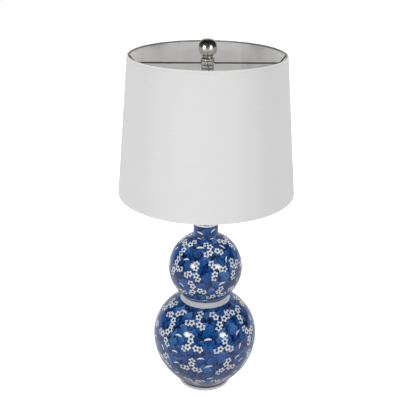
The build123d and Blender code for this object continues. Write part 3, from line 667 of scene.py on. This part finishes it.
def glazeMaterial():
    material, tree, shader = newMaterial("blueGlaze", **{
        "Roughness": glaze["roughness"], "Specular IOR Level": glaze["specular"], "Coat Weight": 1.0,
        "Coat Roughness": glaze["coatRoughness"], "Coat IOR": glaze["coatIor"]})
    place = objectPlace(tree)
    ice = useGroup(tree, crackedIce, Place=place)
    color = blendColors(tree, spans(tree, ice["Wash"], 0.02, 0.44, 0.26, 1.0), glaze["dark"], glaze["mid"])
    color = blendColors(tree, spans(tree, ice["Wash"], 0.42, 0.84, 0.0, 0.70), color, glaze["light"])
    color = blendColors(tree, ice["Line"], color, glaze["line"])
    blooms = []
    for layer in ("motifNear", "motifNext"):
        uv = tree.nodes.new("ShaderNodeUVMap")
        uv.uv_map = layer
        blooms.append(useGroup(tree, plumBlossom, Place=uv.outputs[0]))
    white, dash, wash, dark = (sums(tree, "MAXIMUM", blooms[0][label], blooms[1][label])
                               for label in ("White", "Dash", "Wash", "Dark"))
    white = sums(tree, "MAXIMUM", white, dash)
    color = blendColors(tree, sums(tree, "MULTIPLY", dark, 0.75), color, glaze["dark"])
    pool = noise(tree, place, 420.0, 2.0, 0.6)
    enamel = blendColors(tree, spans(tree, pool.outputs[0], 0.45, 0.80, 0.0, 0.35), glaze["white"], glaze["petal"])
    color = blendColors(tree, white, color, enamel)
    color = blendColors(tree, sums(tree, "MULTIPLY", wash, 0.8), color, glaze["petal"])
    # waist band, lip and foot ring, by height in millimetres
    wander = sums(tree, "SUBTRACT", noise(tree, place, 90.0, 1.0).outputs[0], 0.5)
    height = sums(tree, "MULTIPLY", splitVector(tree, place)[2], 1 / mm)
    level = sums(tree, "ADD", height, sums(tree, "MULTIPLY", wander, glaze["wobble"]))
    bandTop, lineLow, lineTop = waistTop - g["bandCover"], g["footHeight"] - g["footLine"], g["footHeight"]
    band = sums(tree, "MULTIPLY", spans(tree, level, waistBottom - 0.5, waistBottom + 0.3),
                spans(tree, level, bandTop + 0.4, bandTop - 0.4))
    lipWhite = spans(tree, level, lipHeight - 1.5, lipHeight - 0.9)
    footWhite = spans(tree, level, lineLow + 0.2, lineLow - 0.5)
    color = blendColors(tree, sums(tree, "MAXIMUM", lipWhite, footWhite), color, glaze["white"])
    # the band is painted darker than the other whites, as painted shade under the globe, and mottled by the pool noise
    color = blendColors(tree, band, color, blendColors(tree, pool.outputs[0], glaze["bandShade"], glaze["band"]))
    footLine = sums(tree, "MULTIPLY", spans(tree, level, lineLow - 0.6, lineLow + 0.1),
                    spans(tree, level, lineTop + 0.6, lineTop))
    color = blendColors(tree, sums(tree, "MULTIPLY", footLine, 0.9), color, glaze["line"])
    plug(tree, shader["Base Color"], color)
    waves = noise(tree, place, 55.0, 2.0, 0.4)
    relief = sums(tree, "ADD", waves.outputs[0], sums(tree, "MULTIPLY", white, glaze["enamelRise"]))
    plug(tree, shader["Normal"], bumps(tree, relief, 0.0004, 0.5))
    return material


def makeGourd():
    bm, sidePoints = makeGourdMesh()
    paintMotifs(bm, sidePoints, motifPlaces(sidePoints))
    addPiece(bm, "glazedGourd", glazeMaterial(), "base", ["gourd_body"])


# shade

shade = {  # millimetres
    "top": 730.29, "height": 274.0, "topRadius": 152.4, "bottomRadius": 177.8,
    "linen": 0.8, "lining": 0.8, "tape": 0.4, "tapeHeight": 3.0, "ring": 1.3, "gap": 0.02,
    "lapWidth": 12.0, "lapRise": 0.3, "lapEdge": 0.4, "tapeRound": 0.16,
    "linenSeam": 90.0, "liningSeam": 63.0,  # degrees from the right-hand side
    "around": 240, "rows": 15,
    "linenColor": (0.760, 0.760, 0.762, 1), "liningColor": (0.920, 0.912, 0.900, 1),
    "tapeColor": (0.770, 0.770, 0.765, 1),
    # the lining's soft bands and its darker seam are painted light and shade
    "threadShade": 0.93, "liningTone": 0.86, "liningPaintedLight": 0.20, "liningGrain": 0.05, "seamShade": 0.085,
}


def shadeRadius(height, depth):
    slope = (shade["bottomRadius"] - shade["topRadius"]) / shade["height"]
    return shade["topRadius"] + (shade["top"] - height) * slope - depth


def turnedRing(points, around, rows=0):  # a closed section of a few corners, turned; long sides get rows
    bm = bmesh.new()
    corners = [bm.verts.new((r * mm, 0, z * mm)) for r, z in points]
    for a, b in zip(corners, corners[1:] + corners[:1]):
        bm.edges.new((a, b))
    if rows:
        tall = [e for e in bm.edges if e.calc_length() > 0.1]
        bmesh.ops.subdivide_edges(bm, edges=tall, cuts=rows)
    spinOutline(bm, around)
    return bm


def raiseLap(bm, seam, outside):  # the sheet's end lies over its start
    s = shade
    low, high = (s["top"] - s["height"] + s["tapeHeight"] + 1) * mm, (s["top"] - s["tapeHeight"] - 1) * mm
    reach = s["lapWidth"] / 2 * mm
    lap = []
    for face in bm.faces:
        middle = face.calc_center_median()
        off = (atan2(middle.y, middle.x) - radians(seam) + pi) % (2 * pi) - pi
        facing = face.normal.dot(Vector((middle.x, middle.y, 0)).normalized())
        onSheet = facing > 0.5 if outside else facing < -0.5
        if low < middle.z < high and abs(off) * middle.xy.length < reach and onSheet:
            lap.append(face)
    bmesh.ops.inset_region(bm, faces=lap, thickness=s["lapEdge"] * mm, depth=s["lapRise"] * mm,
                           use_even_offset=True, use_boundary=True)


def linenMaterial(name, color, threads, rows, slub, depth):
    material, tree, shader = newMaterial(name, **{
        "Roughness": 0.92, "Specular IOR Level": 0.2, "Sheen Weight": 0.08, "Sheen Roughness": 0.5})
    weave = useGroup(tree, linenWeave, **{
        "Place": objectPlace(tree), "Threads Around": threads, "Rows per Metre": rows, "Slub": slub})
    # the darker colour fills the gaps between threads: painted shade
    deep = darker(color, shade["threadShade"])
    plug(tree, shader["Base Color"], blendColors(tree, weave["Tone"], deep, color))
    plug(tree, shader["Normal"], bumps(tree, weave["Height"], depth, 0.6))
    return material


def liningMaterial():
    material, tree, shader = newMaterial("shadeLining", Roughness=0.55)
    s = shade
    place = objectPlace(tree)
    part = splitVector(tree, place)
    turn = sums(tree, "SUBTRACT", sums(tree, "ARCTAN2", part[1], part[0]), radians(s["liningSeam"]))
    past = sums(tree, "FLOORED_MODULO", sums(tree, "MULTIPLY", turn, -1.0), 2 * pi)
    # the sheet is doubled past the seam, and painted darker there: painted shade where the doubled sheet lets less
    # light through
    paintedSeamShade = spans(tree, past, 1.6, 0.0, 0.0, s["seamShade"], False)
    # soft upright bands round the lining: painted light and shade, from light coming through the shade
    paintedLightBands = noise(tree, vectorSums(tree, "MULTIPLY", place, (26.0, 26.0, 0.6)), 1.0, 3.0, 0.6)
    grain = noise(tree, place, 1500.0, 2.0, 0.6)
    speckle = sums(tree, "SUBTRACT", grain.outputs[0], 0.5)
    tone = sums(tree, "ADD", s["liningTone"], sums(tree, "MULTIPLY", paintedLightBands.outputs[0], s["liningPaintedLight"]))
    tone = sums(tree, "SUBTRACT", tone, paintedSeamShade, clamp=True)
    tone = sums(tree, "ADD", tone, sums(tree, "MULTIPLY", speckle, s["liningGrain"]), clamp=True)
    plug(tree, shader["Base Color"], blendColors(tree, tone, (0, 0, 0, 1), s["liningColor"]))
    plug(tree, shader["Normal"], bumps(tree, grain.outputs[0], 0.00006, 0.3))
    return material


def makeSheets(s, bottom):
    linen = linenMaterial("whiteLinen", s["linenColor"], 1100.0, 1050.0, 0.32, 0.00022)
    lining = liningMaterial()
    sheets = (
        ("linenShade", 0.0, s["linen"], s["linenSeam"], True, "shade_fabric", "white_fabric", linen),
        ("shadeLining", s["linen"], s["lining"], s["liningSeam"], False, "shade_liner", "white_liner", lining),
    )
    for name, depth, thick, seam, outside, node, slotName, material in sheets:
        corners = ((bottom, 0), (s["top"], 0), (s["top"], thick), (bottom, thick))
        bm = turnedRing([(shadeRadius(h, depth + t), h) for h, t in corners], s["around"], s["rows"])
        raiseLap(bm, seam, outside)
        addPiece(bm, name, material, "shade", [node], smooth=False)


def makeTapes(s, bottom):
    wall, t = s["linen"] + s["lining"], s["tape"]
    ringInside = shadeRadius(bottom + s["ring"], wall) - 2 * s["ring"] - 2 * s["gap"]
    material = linenMaterial("whiteTape", s["tapeColor"], 2400.0, 2600.0, 0.25, 0.00015)
    tapes = (
        ("topTape", s["top"], -1, shadeRadius(s["top"], wall), s["tapeHeight"], "shade_top_trim"),
        # the bottom tape goes round the wire ring too
        ("bottomTape", bottom, 1, ringInside, 2 * s["ring"] + s["gap"], "shade_bottom_trim"),
    )
    for name, edge, into, inside, drop, node in tapes:
        over, low = edge - into * t, edge + into * s["tapeHeight"]
        bm = turnedRing([
            (shadeRadius(low, 0), low), (shadeRadius(low, -t), low), (shadeRadius(over, -t), over),
            (inside - t, over), (inside - t, edge + into * drop), (inside, edge + into * drop),
            (inside, edge), (shadeRadius(edge, 0), edge),
        ], s["around"])
        sharp = [e for e in bm.edges if e.calc_face_angle(0) > 1.0]
        bmesh.ops.bevel(bm, geom=sharp, offset=s["tapeRound"] * mm, segments=2, profile=0.5, affect="EDGES",
                        material=-1)
        addPiece(bm, name, material, "shade", [node])


def makeShade():
    bottom = shade["top"] - shade["height"]
    makeSheets(shade, bottom)
    makeTapes(shade, bottom)


# finial and hub

finial = {  # millimetres, heights from its seat
    "bottom": 723.39, "bore": 5.5, "seatRadius": 7.6, "undercut": 1.3,
    "lipRadius": 10.8, "lipRound": 0.3, "lipHeight": 2.0,
    "neckRadius": 9.8, "neckWaist": 3.1, "neckTop": 4.3, "neckTopRadius": 10.3,
    "beadRadius": 11.1, "beadHeight": 5.05, "beadRound": 0.8, "cupRadius": 10.5, "cupBottom": 6.0,
    "cupHandle": (4.6, 2.2),
    "ballRadius": 17.4, "ballDrop": 14.0, "ballRise": 16.2, "lowerFullness": 0.66, "upperFullness": 0.70,
    "around": 96, "steps": 12,
}
hub = {  # millimetres
    "bottom": 710.99, "height": 12.3, "radius": 13.5, "bore": 3.2, "seatRadius": 9.4, "undercut": 1.0,
    "lowerRound": 0.8, "upperRound": 1.2, "lineHeight": 8.6, "lineWidth": 0.5, "lineDepth": 0.4,
    "ringRadii": (11.0, 10.4, 8.2, 7.8), "ringDepth": 1.5,
    "around": 96, "steps": 6,
}


def makeTurned(name, knots, size, material, body, node):
    bm = bmesh.new()
    bm.from_mesh(outlineMesh(knots, size["steps"]))
    spinOutline(bm, size["around"])
    addPiece(bm, name, material, body, [node])


def makeFinial(material):
    f = finial
    z, seat, lip, edge = f["bottom"], f["seatRadius"], f["lipRadius"], f["lipRound"]
    lipLow, lipTop = z + f["undercut"], z + f["lipHeight"]
    under = cornerRuns((f["bore"], z), (seat, z), (seat, lipLow), (lip - edge, lipLow))
    lipArc = arcKnots((lip - edge, lipLow + edge), (edge, edge), -90, 0, 1)
    side = straightKnots((lip, lipLow + edge), (lip, lipTop), 1)
    neckLow, waist = Vector((lip, lipTop)), Vector((f["neckRadius"], z + f["neckWaist"]))
    neckHigh = Vector((f["neckTopRadius"], z + f["neckTop"]))
    neck = [[neckLow, neckLow, neckLow + Vector((-0.7, 0.1))],
            [waist - Vector((0, 0.6)), waist, waist + Vector((0, 0.6))],
            [neckHigh - Vector((0.1, 0.5)), neckHigh, neckHigh]]
    curl = f["beadRound"]
    bead = arcKnots((f["beadRadius"] - curl, z + f["beadHeight"]), (curl, curl + 0.05), -90, 80, 2)
    middle = z + f["cupBottom"] + f["ballDrop"]
    cupLow, widest = Vector((f["cupRadius"], z + f["cupBottom"])), Vector((f["ballRadius"], middle))
    top = Vector((0, middle + f["ballRise"]))
    cup = [[cupLow, cupLow, cupLow + Vector(f["cupHandle"])],
           [widest - Vector((0, f["lowerFullness"] * f["ballDrop"])), widest,
            widest + Vector((0, f["upperFullness"] * f["ballRise"]))],
           [top + Vector((f["upperFullness"] * f["ballRadius"], 0)), top, top]]
    knots = joinKnots(*under, lipArc, side, neck, bead, cup)
    makeTurned("ballFinial", knots, f, material, "finial", "finial_knob")


def makeHub(material):
    h = hub
    z, top, r, seat = h["bottom"], h["bottom"] + h["height"], h["radius"], h["seatRadius"]
    flange, low, high = h["bottom"] + h["undercut"], h["lowerRound"], h["upperRound"]
    line, half = h["bottom"] + h["lineHeight"], h["lineWidth"]
    outer, outerLow, innerLow, inner = h["ringRadii"]
    floor = top - h["ringDepth"]
    # under the flange the hub is cut back to its seat
    knots = joinKnots(
        *cornerRuns((h["bore"], top), (h["bore"], z), (seat, z), (seat, flange), (r - low, flange)),
        arcKnots((r - low, flange + low), (low, low), -90, 0, 1),
        straightKnots((r, flange + low), (r, line - half), 1),
        arcKnots((r, line), (h["lineDepth"], half), -90, -270, 2),
        straightKnots((r, line + half), (r, top - high), 1),
        arcKnots((r - high, top - high), (high, high), 0, 90, 1),
        *cornerRuns((r - high, top), (outer, top), (outerLow, floor), (innerLow, floor), (inner, top),
                    (h["bore"], top)))
    makeTurned("shadeHub", knots, h, material, "shade", "spider_hub")


# plain materials for what the frame brings

def plainMetal(name, color, roughness, grain=900.0, stretch=0.15):
    material, tree, shader = newMaterial(name, Metallic=1.0)
    worn = useGroup(tree, rubbed, Place=objectPlace(tree), Grain=grain, Stretch=stretch)
    plug(tree, shader["Base Color"], blendColors(tree, worn["Rub"], darker(color, 0.88), color))
    plug(tree, shader["Roughness"], spans(tree, worn["Rub"], 0.0, 1.0, roughness * 1.2, roughness * 0.85))
    plug(tree, shader["Normal"], bumps(tree, worn["Height"], 0.00001, 0.3))
    return material


def plainMatte(name, color, roughness, grain=700.0, depth=0.0002, contrast=0.18):
    material, tree, shader = newMaterial(name)
    grained = useGroup(tree, fleck, Place=objectPlace(tree), Grain=grain)
    plug(tree, shader["Base Color"], blendColors(tree, grained["Fleck"], darker(color, 1 - contrast), color))
    rougher = min(1.0, roughness * 1.1)
    plug(tree, shader["Roughness"], spans(tree, grained["Fleck"], 0.0, 1.0, roughness * 0.9, rougher))
    plug(tree, shader["Normal"], bumps(tree, grained["Height"], depth, 0.5))
    return material


finishes = {  # by the frame's material slots
    "felt": plainMatte("greenFelt", (0.020, 0.045, 0.028, 1), 0.95, 2600.0, 0.0006),
    "black_rubber": plainMatte("blackRubber", (0.022, 0.022, 0.023, 1), 0.7),
    "steel_pipe": plainMetal("zincPipe", (0.62, 0.60, 0.55, 1), 0.32),
    "plain_steel": plainMetal("zincSteel", (0.66, 0.66, 0.66, 1), 0.30),
    "nickel": plainMetal("satinNickel", (0.64, 0.62, 0.59, 1), 0.24),
    "insulating_card": plainMatte("insulatingCard", (0.33, 0.23, 0.13, 1), 0.85),
    "dark_moulding": plainMatte("darkMoulding", (0.030, 0.020, 0.015, 1), 0.45),
    "brass_contact": plainMetal("contactBrass", (0.78, 0.56, 0.22, 1), 0.25),
    "black_plastic": plainMatte("blackPlastic", (0.018, 0.018, 0.019, 1), 0.38),
    "frosted_glass": plainMatte("opalGlass", (0.84, 0.84, 0.82, 1), 0.28, 1600.0, 0.00002, 0.035),
    "bulb_aluminium": plainMetal("bulbAluminium", (0.78, 0.78, 0.77, 1), 0.25),
    "solder": plainMetal("solderTip", (0.55, 0.55, 0.54, 1), 0.4),
    "dark_wire": plainMetal("blackenedWire", (0.20, 0.195, 0.19, 1), 0.38),
}
ringFinish = plainMetal("greyWire", (0.46, 0.45, 0.44, 1), 0.40)


def dressFrame():
    for name, node in nodes.items():
        for slot in node.material_slots:
            finish = finishes.get(slot.material.name.split(".")[0], slot.material)
            slot.material = ringFinish if name in ("shade_top_ring", "shade_bottom_ring") else finish


# floor and surroundings

def makeFloor():
    bm = bmesh.new()
    bmesh.ops.create_grid(bm, x_segments=1, y_segments=1, size=studio["floorSize"])
    mesh = bpy.data.meshes.new("floor")
    bm.to_mesh(mesh)
    bm.free()
    material, tree, shader = newMaterial("paleFloor", Roughness=0.8)
    cloud = noise(tree, objectPlace(tree), 3.0, 2.0)
    dark, pale = ((studio[key],) * 3 + (1,) for key in ("floorDark", "floorPale"))
    plug(tree, shader["Base Color"], blendColors(tree, cloud.outputs[0], dark, pale))
    path = tree.nodes.new("ShaderNodeLightPath")
    shader["Emission Color"].default_value = (1, 1, 1, 1)
    shown = sums(tree, "ADD", path.outputs["Is Camera Ray"], path.outputs["Is Transmission Ray"])
    mirrored = sums(tree, "MULTIPLY", path.outputs["Is Glossy Ray"], studio["floorMirrored"])
    glow = sums(tree, "MULTIPLY", sums(tree, "ADD", shown, mirrored, clamp=True), studio["floorShown"])
    plug(tree, shader["Emission Strength"], glow)
    mesh.materials.append(material)
    floor = bpy.data.objects.new("floor", mesh)
    scene.collection.objects.link(floor)


def makeWorld():
    world = bpy.data.worlds.new("studio")
    scene.world = world
    world.use_nodes = True
    tree = world.node_tree
    back = tree.nodes["Background"]
    path = tree.nodes.new("ShaderNodeLightPath")
    seen = path.outputs["Is Camera Ray"]
    direction = splitVector(tree, tree.nodes.new("ShaderNodeTexCoord").outputs["Generated"])
    behind = spans(tree, direction[1], 0.55, 0.97, studio["frontDark"], studio["backBright"])
    low = spans(tree, direction[2], 0.85, 0.35, studio["topDark"], 1.0)
    mirrored = sums(tree, "MULTIPLY", behind, low)
    ambient = spans(tree, direction[2], -0.3, 0.8, studio["ambientLow"], studio["ambientHigh"])
    extra = sums(tree, "MULTIPLY", sums(tree, "SUBTRACT", mirrored, ambient), path.outputs["Is Glossy Ray"])
    plug(tree, back.inputs["Strength"], sums(tree, "MAXIMUM", seen, sums(tree, "ADD", ambient, extra)))
    back.inputs["Color"].default_value = (1, 1, 1, 1)


makeCamera(cameraPlace)
makeStudio(studio)
makeWorld()
makeFloor()
print("camera, lights and floor placed")
makeGourd()
print("gourd turned and glazed")
makeShade()
print("shade, lining and tapes made")
makeFinial(finishes["nickel"])
makeHub(finishes["nickel"])
print("finial and hub turned")
dressFrame()
print("frame parts dressed")

scene.view_settings.view_transform = "Standard"
